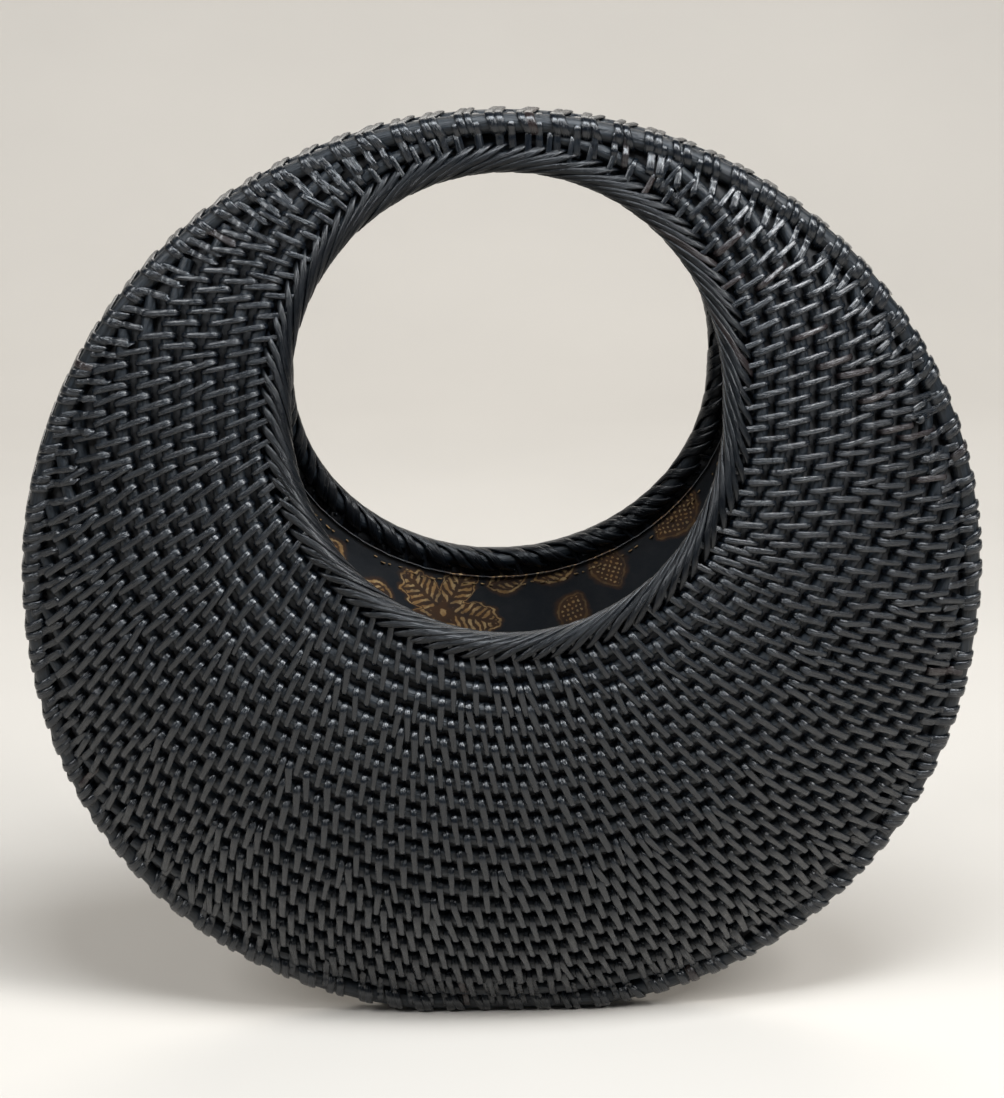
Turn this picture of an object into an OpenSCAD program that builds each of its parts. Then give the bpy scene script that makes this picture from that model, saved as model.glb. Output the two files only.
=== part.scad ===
// Round rattan handbag: two domed faces of concentric rods, stitched with flat splints,
// joined along an outer hoop and open at the top, so that the narrow band above the mouth
// is the carrying handle. +X is to the right, +Y to the back and +Z up, in millimetres.
// The origin is on the resting plane, under the middle of the bag.

/* [Outline] */
// Overall width, over the lashing
bag_w = 320; // [260:1:400]
// Overall height, over the lashing
bag_h = 313; // [250:1:380]
// Height of the widest point
widest_z = 155; // [120:1:190]
// Squareness of the lower half of the outline, where 2 is an ellipse
fullness = 2.15; // [2:0.05:2.6]
// How far the round of the base is pressed flat to stand on
foot_flat = 2; // [0.5:0.5:5]

/* [Mouth and handle] */
// Clear width of the mouth
mouth_w = 139; // [100:1:170]
// Clear height of the mouth, along the face
mouth_h = 148; // [105:1:180]
// Distance between the front and back rims at the bottom of the mouth
mouth_depth = 94; // [60:1:130]
// Height of the handle band above the mouth
handle_h = 19.8; // [19:0.2:40]
// Thickness of a bound rim
rim_d = 8.8; // [6.5:0.5:11]
// Thickness of the core rod in a rim
core_d = 5.6; // [4:0.2:6]

/* [Faces] */
// Number of rods in each face
rod_count = 20; // [14:1:22]
// Thickness of a rod
rod_d = 4.6; // [3:0.1:5]
// How far the face turns under between the mouth and the base, in degrees
belly_turn = 44; // [25:1:60]
// Thickness of the stitched webs between the rods
web_t = 1.6; // [1:0.2:2.4]
// Bite of a web into the rods beside it
web_bite = 0.4; // [0.2:0.1:0.8]

/* [Edge] */
// Thickness of a hoop
hoop_d = 6.6; // [5:0.2:9]
// Gap between the front and back hoops
hoop_gap = 0.3; // [0.1:0.1:1]
// Thickness of the lashing
lash_t = 0.7; // [0.5:0.1:1.2]
// Width of a lashing
lash_w = 5; // [3:0.5:7]
// Number of lashings round the edge
lash_count = 96; // [60:2:120]

/* [Lining] */
// Thickness of the lining cloth
lining_t = 0.8; // [0.5:0.1:1.5]
// Clearance between the rods and the lining
lining_gap = 0.3; // [0.2:0.1:1]
// How far round the mouth the lining reaches, in degrees from its lowest point
lining_reach = 125; // [90:1:130]
// Number of sewing stitches that hold each lining
thread_count = 40; // [20:2:60]
// Thickness of the sewing thread
thread_d = 0.8; // [0.5:0.1:1.2]

/* [Hidden] */
$fn = 48;
hoop_r = hoop_d / 2;
rod_r = rod_d / 2;
rim_r = rim_d / 2;
hoop_y = hoop_r + hoop_gap / 2;
edge = hoop_r + lash_t;

// Outline of the hoops, seen from the front.
half_w = bag_w / 2 - edge;
rise = bag_h - edge - widest_z;
drop = widest_z - edge + foot_flat;

function power(v, p) = pow(abs(v), p);
function lower_x(a) = half_w * sign(sin(a)) * power(sin(a), 2 / fullness);
function lower_z(a) = max(edge, widest_z - drop * power(cos(a), 2 / fullness));
// A point of the outline at an angle counted from the lowest point.
function outline(a) = cos(a) > 0
    ? [lower_x(a), lower_z(a)]
    : [half_w * sin(a), widest_z - rise * cos(a)];
// True where a point of the front view is within the outline, drawn in by a margin.
function inside(x, z, margin) = z < widest_z
    ? power(x / (half_w - margin), fullness)
        + power((widest_z - z) / (drop - margin), fullness) < 1 && z > edge + margin
    : pow(x / (half_w - margin), 2) + pow((z - widest_z) / (rise - margin), 2) < 1;

// The mouth: two half circles with a short straight stretch between them, leaning back.
mouth_r = mouth_w / 2 + rim_r;
half_s = (mouth_h - mouth_w) / 2;
rim_y = rim_r + hoop_gap / 2;
mouth_lean = asin((mouth_depth / 2 - rim_y) / (2 * (mouth_r + half_s)));
mouth_reach = (mouth_r + half_s) * cos(mouth_lean);
centre_z = bag_h - handle_h + rim_r - mouth_reach;
sill_z = centre_z - mouth_reach;

// The profile of a face, down its middle: one arc from the sill of the mouth to the hoop.
chord = [mouth_depth / 2 - hoop_y, sill_z - edge];
belly_r = norm(chord) / (2 * sin(belly_turn / 2));
sill_turn = atan2(chord[0], chord[1]) - belly_turn / 2;
arc_y = -mouth_depth / 2 + belly_r * cos(sill_turn);
arc_z = sill_z + belly_r * sin(sill_turn);
function belly_y(z) = arc_y - sqrt(belly_r * belly_r - pow(z - arc_z, 2));
function belly_angle(z) = asin((arc_z - z) / belly_r);

// Rings lie on a face round the mouth. Each is named by its lowest height, z.
// A ring has the mouth's shape, a radius, a lean and an angle at which it meets the hoop.
function ring_r(z, lean) = (centre_z - z) / cos(lean) - half_s;
function ring_up(r, a) = half_s * (cos(a) < 0 ? 1 : -1) - r * cos(a);
function meets(r, lean, margin, low, high, tries) = tries == 0 ? low :
    let (mid = (low + high) / 2,
         clear = inside(r * sin(mid), centre_z + ring_up(r, mid) * cos(lean), margin))
    meets(r, lean, margin, clear ? mid : low, clear ? high : mid, tries - 1);
function ring_end(z, lean, margin) = meets(ring_r(z, lean), lean, margin, 0, 180, 16);
function ring_lean(z, lean = mouth_lean, tries = 4) = tries == 0 ? lean :
    let (r = ring_r(z, lean), end = ring_end(z, lean, 0),
         run_up = r + half_s + ring_up(r, end))
    ring_lean(z, asin((-hoop_y - belly_y(z)) / run_up), tries - 1);
// How much the face slopes back, outwards across a ring, from the ring's own plane.
function ring_slope(z, lean) = belly_angle(z) + lean;
function ring_point(z, lean, a, out = 0, depth = 0) =
    let (r = ring_r(z, lean), up = ring_up(r, a), far = r + half_s,
         y = belly_y(z) + (far + up) * sin(lean) + depth * cos(lean))
    [(r + out) * sin(a), y - out * cos(a) * sin(lean),
     centre_z + (up - out * cos(a)) * cos(lean) - depth * sin(lean)];

// The rods' places down the face, from the rim to the hoop.
first_gap = rim_r + rod_r + 1.4;
last_gap = (hoop_r + lash_t + rod_r + 0.6) * cos(belly_angle(edge));
rod_step = (sill_z - first_gap - edge - last_gap) / (rod_count - 1);
rod_margin = hoop_r + 0.3 * rod_r;
function rod_z(k) = sill_z - first_gap - (k - 1) * rod_step;
function rod_name(side, k) = str(side, "_rod_", k < 10 ? "0" : "", k);

sides = ["front", "back"];

// Puts the front face's own shapes on either face.
module on(side) {
    if (side == "front") children();
    else mirror([0, 1, 0]) children();
}

// Carries a flat section round a ring of radius r, to the angle end on both sides.
module round_ring(r, end) {
    low = min(end, 90);
    translate([0, -half_s, 0]) rotate([0, 0, -90 - low])
        rotate_extrude(angle = 2 * low) children();
    if (end > 90) {
        for (flip = [0, 1]) mirror([flip, 0, 0]) {
            translate([0, half_s, 0]) rotate([90, 0, 0])
                linear_extrude(2 * half_s) children();
            if (end < 179) translate([0, half_s, 0])
                rotate_extrude(angle = end - 90) children();
        }
        if (end >= 179) translate([0, half_s, 0]) rotate_extrude(angle = 180) children();
    }
}

// Lays a ring of a face in its leaning plane.
module place_ring(z, lean) {
    far = ring_r(z, lean) + half_s;
    translate([0, belly_y(z) + far * sin(lean), centre_z])
        rotate([90 - lean, 0, 0]) children();
}

module rod(side, k) {
    z = rod_z(k);
    lean = ring_lean(z);
    r = ring_r(z, lean);
    color([0.09, 0.10, 0.12]) on(side) place_ring(z, lean)
        round_ring(r, ring_end(z, lean, rod_margin)) translate([r, 0]) circle(rod_r);
}

module rim_core(side) {
    color([0.10, 0.11, 0.13]) on(side) place_ring(sill_z, mouth_lean)
        round_ring(mouth_r, 180) translate([mouth_r, 0]) circle(core_d / 2);
}

module rim_binding(side) {
    color([0.16, 0.17, 0.19]) on(side) place_ring(sill_z, mouth_lean)
        round_ring(mouth_r, 180) translate([mouth_r, 0]) difference() {
            circle(rim_r);
            circle(core_d / 2);
        }
}

// One web of the stitching, in the gap between two rings.
module web(upper_z, lower_z, upper_r, lower_r) {
    z = (upper_z + lower_z) / 2 + (lower_r - upper_r) / 2;
    lean = ring_lean(z);
    r = ring_r(z, lean);
    across = (upper_z - lower_z) / cos(belly_angle(z)) - upper_r - lower_r + 2 * web_bite;
    place_ring(z, lean) round_ring(r, ring_end(z, lean, rod_margin))
        translate([r, 0]) rotate(-ring_slope(z, lean))
            square([across, web_t], center = true);
}

module stitching(side) {
    color([0.20, 0.21, 0.23]) on(side) {
        web(sill_z, rod_z(1), rim_r, rod_r);
        for (k = [2 : rod_count]) web(rod_z(k - 1), rod_z(k), rod_r, rod_r);
    }
}

// The hoop: a round rod carried along the outline.
hoop_steps = 80;
hoop_sides = 10;
module edge_hoop(side) {
    points = [for (i = [0 : hoop_steps - 1])
        let (a = 360 * i / hoop_steps, here = outline(a),
             way = outline(a + 1) - outline(a - 1), out = [way[1], -way[0]] / norm(way))
        for (j = [0 : hoop_sides - 1])
            let (b = 360 * j / hoop_sides, o = hoop_r * cos(b))
            [here[0] + o * out[0], -hoop_y + hoop_r * sin(b), here[1] + o * out[1]]];
    faces = [for (i = [0 : hoop_steps - 1], j = [0 : hoop_sides - 1])
        let (n = (i + 1) % hoop_steps, m = (j + 1) % hoop_sides)
        [i * hoop_sides + j, i * hoop_sides + m, n * hoop_sides + m, n * hoop_sides + j]];
    color([0.12, 0.13, 0.15]) on(side) polyhedron(points, faces, convexity = 8);
}

// The section of a lashing round both hoops, grown by a margin.
module lash_section(grow) {
    r = hoop_r + grow;
    polygon([for (side = [-1, 1], b = [-90 : 45 : 90])
        [side * (hoop_y + r * cos(b)), side * r * sin(b)]]);
}

module edge_lashing() {
    color([0.19, 0.20, 0.22]) for (i = [0 : lash_count - 1]) {
        a = 360 * i / lash_count;
        here = outline(a);
        way = outline(a + 1) - outline(a - 1);
        translate([here[0], 0, here[1]]) rotate([0, -atan2(way[1], way[0]), 0])
            rotate([90, 0, 90]) linear_extrude(lash_w, center = true) difference() {
                lash_section(lash_t);
                lash_section(0);
            }
    }
}

// The lining: a sheet behind the rods, from the rim to the hoop.
lining_columns = 36;
lining_rows = 12;
lining_top = sill_z - rim_r - 0.5;
lining_margin = edge + 4;
function lowest_z(a, high, low, tries) = tries == 0 ? high :
    let (mid = (high + low) / 2,
         clear = ring_end(mid, mouth_lean, lining_margin) >= a)
    lowest_z(a, clear ? mid : high, clear ? low : mid, tries - 1);
function lining_point(z, a, side_of, depth) =
    let (lean = ring_lean(z), s = ring_slope(z, lean))
    ring_point(z, lean, side_of * a, -depth * sin(s), depth * cos(s));

module lining(side) {
    depth = rod_r + lining_gap;
    reach = [for (i = [0 : lining_columns]) let (a = lining_reach * (2 * i / lining_columns - 1))
        [abs(a), sign(a), lowest_z(abs(a), lining_top, edge + lining_margin, 10)]];
    across = lining_rows + 1;
    sheet = (lining_columns + 1) * across;
    points = [for (d = [depth, depth + lining_t], c = reach, j = [0 : lining_rows])
        lining_point(lining_top + (c[2] - lining_top) * j / lining_rows, c[0], c[1], d)];
    quads = [for (i = [0 : lining_columns - 1], j = [0 : lining_rows - 1])
        let (p = i * across + j) [p, p + 1, p + across + 1, p + across]];
    rim = concat([for (i = [0 : lining_columns]) i * across],
        [for (j = [1 : lining_rows]) lining_columns * across + j],
        [for (i = [lining_columns - 1 : -1 : 0]) i * across + lining_rows],
        [for (j = [lining_rows - 1 : -1 : 1]) j]);
    color([0.06, 0.07, 0.10]) on(side) polyhedron(points, concat(
        [for (q = quads) [q[3], q[2], q[1], q[0]]],
        [for (q = quads) [for (p = q) p + sheet]],
        [for (i = [0 : len(rim) - 1]) let (p = rim[i], n = rim[(i + 1) % len(rim)])
            [p, p + sheet, n + sheet, n]]), convexity = 8);
}

// The thread that sews the lining's upper edge: short stitches on its inner side.
module lining_thread(side) {
    z = lining_top - 4;
    lean = ring_lean(z);
    depth = rod_r + lining_gap + lining_t + thread_d / 2;
    reach = lining_reach - 12;
    color([0.72, 0.62, 0.42]) on(side) for (i = [0 : thread_count - 1]) {
        a = reach * (2 * (i + 0.25) / thread_count - 1);
        b = reach * (2 * (i + 0.75) / thread_count - 1);
        from = lining_point(z, abs(a), sign(a), depth);
        to = lining_point(z, abs(b), sign(b), depth);
        way = to - from;
        translate(from) rotate([0, acos(way[2] / norm(way)), atan2(way[1], way[0])])
            cylinder(h = norm(way), d = thread_d);
    }
}

for (side = sides, k = [1 : rod_count])
    rod(side, k);
for (side = sides) {
    edge_hoop(side);
    rim_core(side);
    rim_binding(side);
    stitching(side);
    lining(side);
    lining_thread(side);
}
edge_lashing();
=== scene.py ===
# Round rattan handbag: stitched rod faces, bound rims, lashed hoops and a batik lining.
# Sizes in the settings are millimetres and degrees, and meshes are made in metres.
import math
import random

import bpy
import numpy as np
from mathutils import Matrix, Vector


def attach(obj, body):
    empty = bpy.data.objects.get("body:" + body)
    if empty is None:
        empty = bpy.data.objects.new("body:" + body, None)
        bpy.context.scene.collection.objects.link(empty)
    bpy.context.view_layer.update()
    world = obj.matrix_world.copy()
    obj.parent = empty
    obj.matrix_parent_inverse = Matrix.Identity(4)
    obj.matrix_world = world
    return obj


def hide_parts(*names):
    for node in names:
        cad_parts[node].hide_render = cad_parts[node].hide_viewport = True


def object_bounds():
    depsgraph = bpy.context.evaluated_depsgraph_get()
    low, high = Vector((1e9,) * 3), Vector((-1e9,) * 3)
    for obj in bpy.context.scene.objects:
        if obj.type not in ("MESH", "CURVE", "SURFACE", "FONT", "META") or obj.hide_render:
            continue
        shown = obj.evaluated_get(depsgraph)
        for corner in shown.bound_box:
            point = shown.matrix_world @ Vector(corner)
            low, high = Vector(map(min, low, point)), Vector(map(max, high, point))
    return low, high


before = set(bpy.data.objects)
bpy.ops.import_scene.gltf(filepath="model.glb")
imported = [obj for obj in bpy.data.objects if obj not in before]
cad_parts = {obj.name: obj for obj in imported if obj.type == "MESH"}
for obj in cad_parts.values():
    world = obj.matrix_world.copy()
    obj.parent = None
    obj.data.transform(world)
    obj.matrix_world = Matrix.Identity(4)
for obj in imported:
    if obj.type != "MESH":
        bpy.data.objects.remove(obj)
cadLow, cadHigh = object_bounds()
mm = 0.001
sides = {"front": 1, "back": -1}

# The bag's form: rods are rings round the mouth, on a bowed face, and they end at the hoops.
bag = {
    "widestZ": 155, "fullness": 2.15, "footFlat": 2,  # outline of the hoops
    "mouthW": 139, "mouthH": 148, "mouthDepth": 94, "handleH": 19.8,
    "bellyTurn": 44,  # how far the face turns between the mouth and the foot
    "rimD": 8.8, "rodD": 4.6, "sillGap": 1.4, "edgeGap": 0.6,
    "hoopD": 6.6, "hoopGap": 0.3, "lashT": 0.7,
}
bagWidth = (cadHigh.x - cadLow.x) / mm
bagHeight = (cadHigh.z - cadLow.z) / mm
rodCount = sum(name.startswith("front_rod_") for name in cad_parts)

hoopR, rodR, rimR = bag["hoopD"] / 2, bag["rodD"] / 2, bag["rimD"] / 2
hoopY = hoopR + bag["hoopGap"] / 2
edge = hoopR + bag["lashT"]
halfWidth = bagWidth / 2 - edge
rise = bagHeight - edge - bag["widestZ"]
drop = bag["widestZ"] - edge + bag["footFlat"]
mouthR = bag["mouthW"] / 2 + rimR
halfStraight = (bag["mouthH"] - bag["mouthW"]) / 2
mouthSpan = mouthR + halfStraight
mouthLean = math.asin((bag["mouthDepth"] / 2 - rimR - bag["hoopGap"] / 2) / (2 * mouthSpan))
mouthReach = mouthSpan * math.cos(mouthLean)
centreZ = bagHeight - bag["handleH"] + rimR - mouthReach
sillZ = centreZ - mouthReach
chordY, chordZ = bag["mouthDepth"] / 2 - hoopY, sillZ - edge
bellyTurn = math.radians(bag["bellyTurn"])
bellyR = math.hypot(chordY, chordZ) / (2 * math.sin(bellyTurn / 2))
sillTurn = math.atan2(chordY, chordZ) - bellyTurn / 2
arcY = -bag["mouthDepth"] / 2 + bellyR * math.cos(sillTurn)
arcZ = sillZ + bellyR * math.sin(sillTurn)


def outlineAt(a):
    # A point of the hoops' path, at an angle from the lowest point.
    if math.cos(a) > 0:
        x = halfWidth * math.copysign(abs(math.sin(a)) ** (2 / bag["fullness"]), math.sin(a))
        return x, max(edge, bag["widestZ"] - drop * math.cos(a) ** (2 / bag["fullness"]))
    return halfWidth * math.sin(a), bag["widestZ"] - rise * math.cos(a)


def isInside(x, z, margin):
    # Whether a place of the front view lies in the outline, by a margin.
    if z < bag["widestZ"]:
        across = abs(x / (halfWidth - margin)) ** bag["fullness"]
        down = ((bag["widestZ"] - z) / (drop - margin)) ** bag["fullness"]
        return across + down < 1 and z > edge + margin
    return (x / (halfWidth - margin)) ** 2 + ((z - bag["widestZ"]) / (rise - margin)) ** 2 < 1


def bellyY(z):
    # The face's middle line, bowed to the front.
    return arcY - math.sqrt(bellyR ** 2 - (z - arcZ) ** 2)


def ringR(z, lean):
    # The radius of the ring whose lowest point is at a height.
    return (centreZ - z) / math.cos(lean) - halfStraight


def ringUp(r, a):
    # How far a place of a ring is above the mouth's middle, along its lean.
    return halfStraight * (1 if math.cos(a) < 0 else -1) - r * math.cos(a)


def ringEnd(z, lean, margin):
    # The angle at which a ring meets the hoop.
    r = ringR(z, lean)
    low, high = 0.0, math.pi
    for _ in range(18):
        mid = (low + high) / 2
        clear = isInside(r * math.sin(mid), centreZ + ringUp(r, mid) * math.cos(lean), margin)
        low, high = (mid, high) if clear else (low, mid)
    return low


def ringLean(z):
    # The lean that brings a ring's ends to the hoop.
    lean = mouthLean
    for _ in range(4):
        r = ringR(z, lean)
        climb = r + halfStraight + ringUp(r, ringEnd(z, lean, 0))
        lean = math.asin((-hoopY - bellyY(z)) / climb)
    return lean


class Ring:
    # A ring of a face: lengths run from its lowest point, positive towards +X.
    def __init__(self, z, lean=None, margin=0.0):
        self.z, self.lean = z, ringLean(z) if lean is None else lean
        self.r = ringR(z, self.lean)
        self.quarter = self.r * math.pi / 2
        self.end = self.length(ringEnd(z, self.lean, margin))

    def length(self, a):
        return self.r * a + (2 * halfStraight if a > math.pi / 2 else 0)

    def spot(self, s):
        # The angle and the run along the straight stretch, for lengths along the ring.
        t = np.abs(s)
        run = np.clip(t - self.quarter, 0, 2 * halfStraight)
        a = (np.minimum(t, self.quarter) + np.maximum(t - self.quarter - 2 * halfStraight, 0)) / self.r
        return a, run

    def match(self, other, s):
        # Lengths on the other ring at the same places round the mouth.
        a, run = self.spot(s)
        return np.sign(s) * (other.r * a + run)

    def at(self, s, out=0.0, depth=0.0):
        # Points at lengths along the ring, moved outwards from the mouth and into the bag.
        a, run = self.spot(s)
        up = run - halfStraight - self.r * np.cos(a)
        y = bellyY(self.z) + (self.r + halfStraight + up) * math.sin(self.lean)
        y = y + depth * math.cos(self.lean) - out * np.cos(a) * math.sin(self.lean)
        z = centreZ + (up - out * np.cos(a)) * math.cos(self.lean) - depth * math.sin(self.lean)
        return np.stack([(self.r + out) * np.sin(a) * np.sign(s), y, z], -1)


firstGap = rimR + rodR + bag["sillGap"]
edgeTurn = math.asin((arcZ - edge) / bellyR)
lastGap = (hoopR + bag["lashT"] + rodR + bag["edgeGap"]) * math.cos(edgeTurn)
rodStep = (sillZ - firstGap - edge - lastGap) / (rodCount - 1)
rodMargin = hoopR + 0.3 * rodR  # how far inside the outline a rod ends
rimRing = Ring(sillZ, mouthLean)
rodRings = [Ring(sillZ - firstGap - k * rodStep, margin=rodMargin) for k in range(rodCount)]
print("form ready:", rodCount, "rods in each face")


def unit(v):
    return v / np.maximum(np.linalg.norm(v, axis=-1, keepdims=True), 1e-9)


def runAlong(points, axis=0):
    # How far along its line each point is, from 0 at the first one.
    steps = np.linalg.norm(np.diff(points, axis=axis), axis=-1)
    return np.concatenate([0 * np.take(steps, [0], axis), np.cumsum(steps, axis)], axis)


plainShares = (0.3, 0.0)  # for pieces without a head and a tail


def makePiece(name, points, faces, material, uv=None, side=1, share=None):
    # A mesh piece from millimetres. The back face is the front one mirrored.
    # Its shares are each splint's way from head to tail, and how far down the face its row is.
    points = np.asarray(points, float).reshape(-1, 3) * mm
    faces = np.asarray(faces)
    if side < 0:
        points = points * (1, -1, 1)
        faces = faces[:, ::-1]
    mesh = bpy.data.meshes.new(name)
    mesh.vertices.add(len(points))
    mesh.vertices.foreach_set("co", points.ravel())
    mesh.loops.add(faces.size)
    mesh.loops.foreach_set("vertex_index", faces.ravel().astype(np.int32))
    mesh.polygons.add(len(faces))
    mesh.polygons.foreach_set("loop_start", np.arange(len(faces), dtype=np.int32) * faces.shape[1])
    mesh.polygons.foreach_set("use_smooth", np.ones(len(faces), bool))
    if uv is not None:
        layer = mesh.uv_layers.new(name="alongAndAcross")
        layer.data.foreach_set("uv", np.asarray(uv, float)[faces.ravel()].ravel())
        share = np.tile(plainShares, (len(points), 1)) if share is None else np.asarray(share, float)
        layer = mesh.uv_layers.new(name="shares")
        layer.data.foreach_set("uv", share[faces.ravel()].ravel())
    mesh.update(calc_edges=True)
    mesh.validate()
    mesh.materials.append(material)
    piece = bpy.data.objects.new(name, mesh)
    bpy.context.scene.collection.objects.link(piece)
    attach(piece, "root")
    return piece


def tubeFaces(strands, rings, corners, closed):
    # Quads of many tubes laid out one after another.
    i, j = np.meshgrid(np.arange(rings if closed else rings - 1), np.arange(corners), indexing="ij")
    here, after = i * corners + j, (i + 1) % rings * corners + j
    hereNext = i * corners + (j + 1) % corners
    afterNext = (i + 1) % rings * corners + (j + 1) % corners
    quads = np.stack([here, hereNext, afterNext, after], -1).reshape(-1, 4)
    starts = np.arange(strands) * rings * corners
    return (quads[None] + starts[:, None, None]).reshape(-1, 4)


def capFaces(strands, rings, corners):
    # Closes the ends of open tubes of an even number of corners with quads.
    half = corners // 2
    first = np.array([[j, corners - 1 - j, corners - 2 - j, j + 1] for j in range(half - 1)])
    last = first[:, ::-1] + (rings - 1) * corners
    starts = np.arange(strands) * rings * corners
    return (np.concatenate([first, last])[None] + starts[:, None, None]).reshape(-1, 4)


def splintSection(corners, groove):
    # A flat splint's section, 1 wide and 1 thick, with rounded edges and a groove on its outer face.
    a = np.arange(corners) * 2 * math.pi / corners + math.pi / corners
    across = np.sign(np.cos(a)) * np.abs(np.cos(a)) ** 0.75
    up = np.sign(np.sin(a)) * np.abs(np.sin(a)) ** 0.8
    up = up - groove * (up > 0.5) * (np.abs(across) < 0.45)
    return np.stack([across / 2, up / 2], -1)


def sweepStrands(paths, across, up, widths, thicks, corners=8, closed=False, groove=0.0):
    # A splint along each path. Paths and directions are strands x rings x 3, sizes strands x rings.
    strands, rings = paths.shape[:2]
    section = splintSection(corners, groove)
    points = (paths[:, :, None]
              + across[:, :, None] * (section[:, 0] * widths[..., None])[..., None]
              + up[:, :, None] * (section[:, 1] * thicks[..., None])[..., None])
    uv = np.empty((strands, rings, corners, 2))
    nextCane = 7.3  # each strand is cut from another stretch of cane
    uv[..., 0] = runAlong(paths, 1)[..., None] + nextCane * np.arange(strands)[:, None, None]
    uv[..., 1] = section[:, 0] * widths[..., None]
    faces = tubeFaces(strands, rings, corners, closed)
    if not closed:
        faces = np.concatenate([faces, capFaces(strands, rings, corners)])
    return points.reshape(-1, 3), faces, uv.reshape(-1, 2)


# Colours and gloss of each material.
finish = {
    "rod": {"colour": (0.002, 0.003, 0.004), "pale": (0.011, 0.0155, 0.021), "rough": 0.34, "coat": 0.05,
            "specular": 0.35, "radius": 110.0},
    # The splints' tail colour is painted light: paler tails in the lower rows stand in for the floor's
    # reflection.
    "splint": {"colour": (0.002, 0.003, 0.005), "pale": (0.0068, 0.0098, 0.013),
               "tail": (0.0100, 0.0130, 0.0165), "brown": (0.020, 0.011, 0.009), "rough": 0.24,
               "coat": 0.35, "specular": 0.4},
    # The rims' splints are darker, rougher and less glossy than the face's.
    "rimSplint": {"colour": (0.0015, 0.002, 0.003), "pale": (0.0045, 0.0062, 0.0082),
                  "tail": (0.0045, 0.0062, 0.0082), "brown": (0.014, 0.008, 0.007), "rough": 0.30,
                  "coat": 0.15, "specular": 0.28},
    # The runs behind the rods: a darker, duller copy of the splint colour, painted shade for the gaps between
    # the rods.
    "inner": {"colour": (0.0015, 0.0015, 0.002), "pale": (0.004, 0.004, 0.005), "rough": 0.7},
    "cloth": {"ground": (0.004, 0.006, 0.009), "worn": (0.010, 0.011, 0.013),
              "brown": (0.060, 0.026, 0.009), "hem": (0.018, 0.010, 0.006),
              "gold": (0.30, 0.165, 0.058), "cream": (0.46, 0.31, 0.145)},
    "thread": {"colour": (0.20, 0.12, 0.045)},
}


def newGroup(name, inputs, outputs):
    # A node group with its inputs as label, kind and value, and its outputs as label and kind.
    group = bpy.data.node_groups.new(name, "ShaderNodeTree")
    for label, kind, value in inputs:
        socket = group.interface.new_socket(label, in_out="INPUT", socket_type="NodeSocket" + kind)
        if value is not None:
            socket.default_value = value
    for label, kind in outputs:
        group.interface.new_socket(label, in_out="OUTPUT", socket_type="NodeSocket" + kind)
    return group, group.nodes.new("NodeGroupInput"), group.nodes.new("NodeGroupOutput")


def setInput(tree, node, key, value):
    # A socket feeds the input, and anything else is its plain value.
    if isinstance(value, bpy.types.NodeSocket):
        tree.links.new(value, node.inputs[key])
    elif value is not None:
        node.inputs[key].default_value = value


def mathNode(tree, operation, a, b=None, c=None, clamp=False):
    node = tree.nodes.new("ShaderNodeMath")
    node.operation, node.use_clamp = operation, clamp
    for i, value in enumerate((a, b, c)):
        setInput(tree, node, i, value)
    return node.outputs[0]


def rangeNode(tree, value, low, high, toLow=0.0, toHigh=1.0):
    # A smooth step between two values.
    node = tree.nodes.new("ShaderNodeMapRange")
    node.interpolation_type = "SMOOTHSTEP"
    for key, v in (("Value", value), ("From Min", low), ("From Max", high),
                   ("To Min", toLow), ("To Max", toHigh)):
        setInput(tree, node, key, v)
    return node.outputs[0]


def mixColours(tree, factor, a, b):
    node = tree.nodes.new("ShaderNodeMix")
    node.data_type = "RGBA"
    for i, value in ((0, factor), (6, a), (7, b)):
        if isinstance(value, tuple) and len(value) == 3:
            value = (*value, 1)
        setInput(tree, node, i, value)
    return node.outputs[2]


def noiseNode(tree, vector, scale, detail=2.0, rough=0.5):
    node = tree.nodes.new("ShaderNodeTexNoise")
    for key, v in (("Vector", vector), ("Scale", scale), ("Detail", detail), ("Roughness", rough)):
        setInput(tree, node, key, v)
    return node.outputs["Fac"]


def combine(tree, x, y, z):
    node = tree.nodes.new("ShaderNodeCombineXYZ")
    for i, value in enumerate((x, y, z)):
        setInput(tree, node, i, value)
    return node.outputs[0]


def separate(tree, vector):
    node = tree.nodes.new("ShaderNodeSeparateXYZ")
    setInput(tree, node, 0, vector)
    return node.outputs


def buildFibreGroup():
    # Fine lengthwise fibres of cane, in millimetres along and across.
    group, source, target = newGroup(
        "caneFibre",
        [("Along", "Float", 0.0), ("Across", "Float", 0.0), ("Round", "Float", 0.0),
         ("Fineness", "Float", 5.0)],
        [("Fibre", "Float"), ("Height", "Float"), ("Patches", "Float")])
    along = mathNode(group, "MULTIPLY", source.outputs["Along"], 0.05)
    fine = combine(group, along, source.outputs["Across"], source.outputs["Round"])
    fibre = noiseNode(group, fine, source.outputs["Fineness"], 3.0, 0.6)
    slow = combine(group, mathNode(group, "MULTIPLY", along, 2.0), source.outputs["Across"],
                   source.outputs["Round"])
    patches = noiseNode(group, slow, 0.9, 3.0, 0.6)
    group.links.new(rangeNode(group, fibre, 0.35, 0.7), target.inputs["Fibre"])
    group.links.new(fibre, target.inputs["Height"])
    group.links.new(patches, target.inputs["Patches"])
    return group


def groupNode(tree, group, **values):
    node = tree.nodes.new("ShaderNodeGroup")
    node.node_tree = group
    for key, value in values.items():
        setInput(tree, node, key, value)
    return node


def newMaterial(name):
    material = bpy.data.materials.new(name)
    material.use_nodes = True
    tree = material.node_tree
    return material, tree, tree.nodes["Principled BSDF"]


def bumpNode(tree, height, strength, distance):
    node = tree.nodes.new("ShaderNodeBump")
    setInput(tree, node, "Height", height)
    node.inputs["Strength"].default_value = strength
    node.inputs["Distance"].default_value = distance
    return node.outputs[0]


fibreGroup = buildFibreGroup()


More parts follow.
